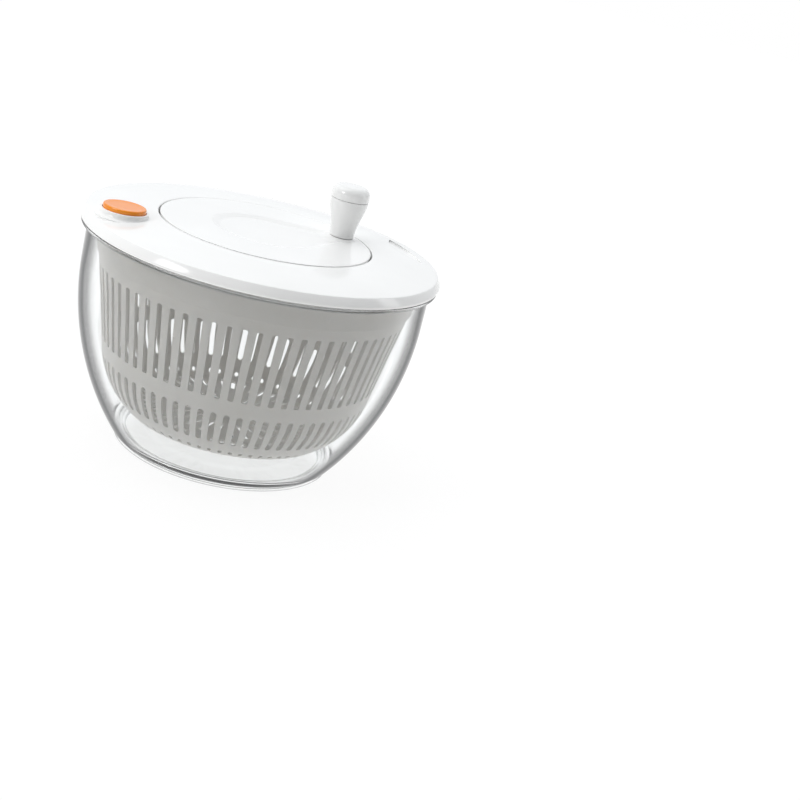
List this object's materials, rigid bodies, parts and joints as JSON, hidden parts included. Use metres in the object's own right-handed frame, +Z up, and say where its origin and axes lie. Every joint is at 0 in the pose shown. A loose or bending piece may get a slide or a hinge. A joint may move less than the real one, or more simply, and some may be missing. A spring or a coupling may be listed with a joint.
{
  "type": "salad spinner",
  "caption": "Round clear bowl with a slotted basket spun through gears by a flush crank disc in a domed lid, with a raised push-button brake and a lens-shaped recess.",
  "frame": {"origin": "centre of the foot ring's underside, on the surface that the bowl stands on", "axes": "+Z up along the bowl's axis; +X from the brake button, on -X, to the lens-shaped recess in the lid"},
  "size_m": [0.26, 0.26, 0.2079],
  "materials": {
    "clear": "crystal-clear polished styrene-acrylonitrile, moulded",
    "clear_rubber": "translucent soft elastomer, satin",
    "milky": "milky white polypropylene, satin gloss",
    "white": "polished white ABS",
    "acetal": "natural acetal, as moulded",
    "orange": "polished orange ABS",
    "steel": "turned stainless steel",
    "grey_rubber": "moulded grey rubber"
  },
  "bodies": {
    "bowl": {"bowl": "clear", "foot_ring": "clear_rubber", "pivot_pin": "steel"},
    "spindle": {"spindle_cap": "acetal"},
    "basket": {"basket": "milky"},
    "lid": {"lid_shell": "white", "gear_housing": "white", "centre_bush": "acetal", "housing_screw_1": "steel", "housing_screw_2": "steel", "housing_screw_3": "steel", "housing_screw_4": "steel", "idler_pin_1": "steel", "idler_pin_2": "steel", "idler_pin_3": "steel"},
    "idler_1": {"idler_gear_1": "acetal"},
    "idler_2": {"idler_gear_2": "acetal"},
    "idler_3": {"idler_gear_3": "acetal"},
    "drive": {"sun_gear": "acetal", "driving_plate": "white"},
    "crank": {"crank_disc": "white", "ring_gear": "acetal", "ring_screw_1": "steel", "ring_screw_2": "steel", "ring_screw_3": "steel", "crank_axle": "steel", "axle_clip": "steel", "axle_washer": "steel", "knob_pin": "steel", "knob_nut": "steel", "knob_washer": "steel"},
    "knob": {"knob_body": "white", "knob_cap": "white"},
    "brake": {"brake_button": "orange", "brake_stem": "white", "brake_shoe": "grey_rubber", "brake_spring": "steel"}
  },
  "joints": [
    {"name": "basket_spin", "type": "hinge", "parent": "bowl", "child": "spindle", "pos_m": [0, 0, 0.0211], "axis": [0, 0, 1], "continuous": true},
    {"name": "basket_lift", "type": "slide", "parent": "spindle", "child": "basket", "axis": [0, 0, 1], "range_m": [0, 0.15]},
    {"name": "lid_lift", "type": "slide", "parent": "bowl", "child": "lid", "axis": [0, 0, 1], "range_m": [0, 0.3]},
    {"name": "crank_spin", "type": "hinge", "parent": "lid", "child": "crank", "pos_m": [0, 0, 0.168], "axis": [0, 0, 1], "continuous": true},
    {"name": "drive_spin", "type": "hinge", "parent": "lid", "child": "drive", "pos_m": [0, 0, 0.1504], "axis": [0, 0, 1], "continuous": true},
    {"name": "idler_1_spin", "type": "hinge", "parent": "lid", "child": "idler_1", "pos_m": [0.0336, 0, 0.157], "axis": [0, 0, 1], "continuous": true},
    {"name": "idler_2_spin", "type": "hinge", "parent": "lid", "child": "idler_2", "pos_m": [-0.0168, 0.0291, 0.157], "axis": [0, 0, 1], "continuous": true},
    {"name": "idler_3_spin", "type": "hinge", "parent": "lid", "child": "idler_3", "pos_m": [-0.0168, -0.0291, 0.157], "axis": [0, 0, 1], "continuous": true},
    {"name": "knob_spin", "type": "hinge", "parent": "crank", "child": "knob", "pos_m": [0.06166, 0.00648, 0.169], "axis": [0, 0, 1], "continuous": true},
    {"name": "brake_press", "type": "slide", "parent": "lid", "child": "brake", "axis": [0, 0, -1], "range_m": [0, 0.003], "stiffness_N_per_m": 600, "springref_m": -0.002, "deforming": ["brake_spring"]}
  ],
  "couplings": [
    {"joint": "basket_spin", "follows": "crank_spin", "ratio": -3},
    {"joint": "drive_spin", "follows": "crank_spin", "ratio": -3},
    {"joint": "idler_1_spin", "follows": "crank_spin", "ratio": 3},
    {"joint": "idler_2_spin", "follows": "crank_spin", "ratio": 3},
    {"joint": "idler_3_spin", "follows": "crank_spin", "ratio": 3},
    {"joint": "basket_lift", "follows": "lid_lift", "ratio": 0.5}
  ]
}
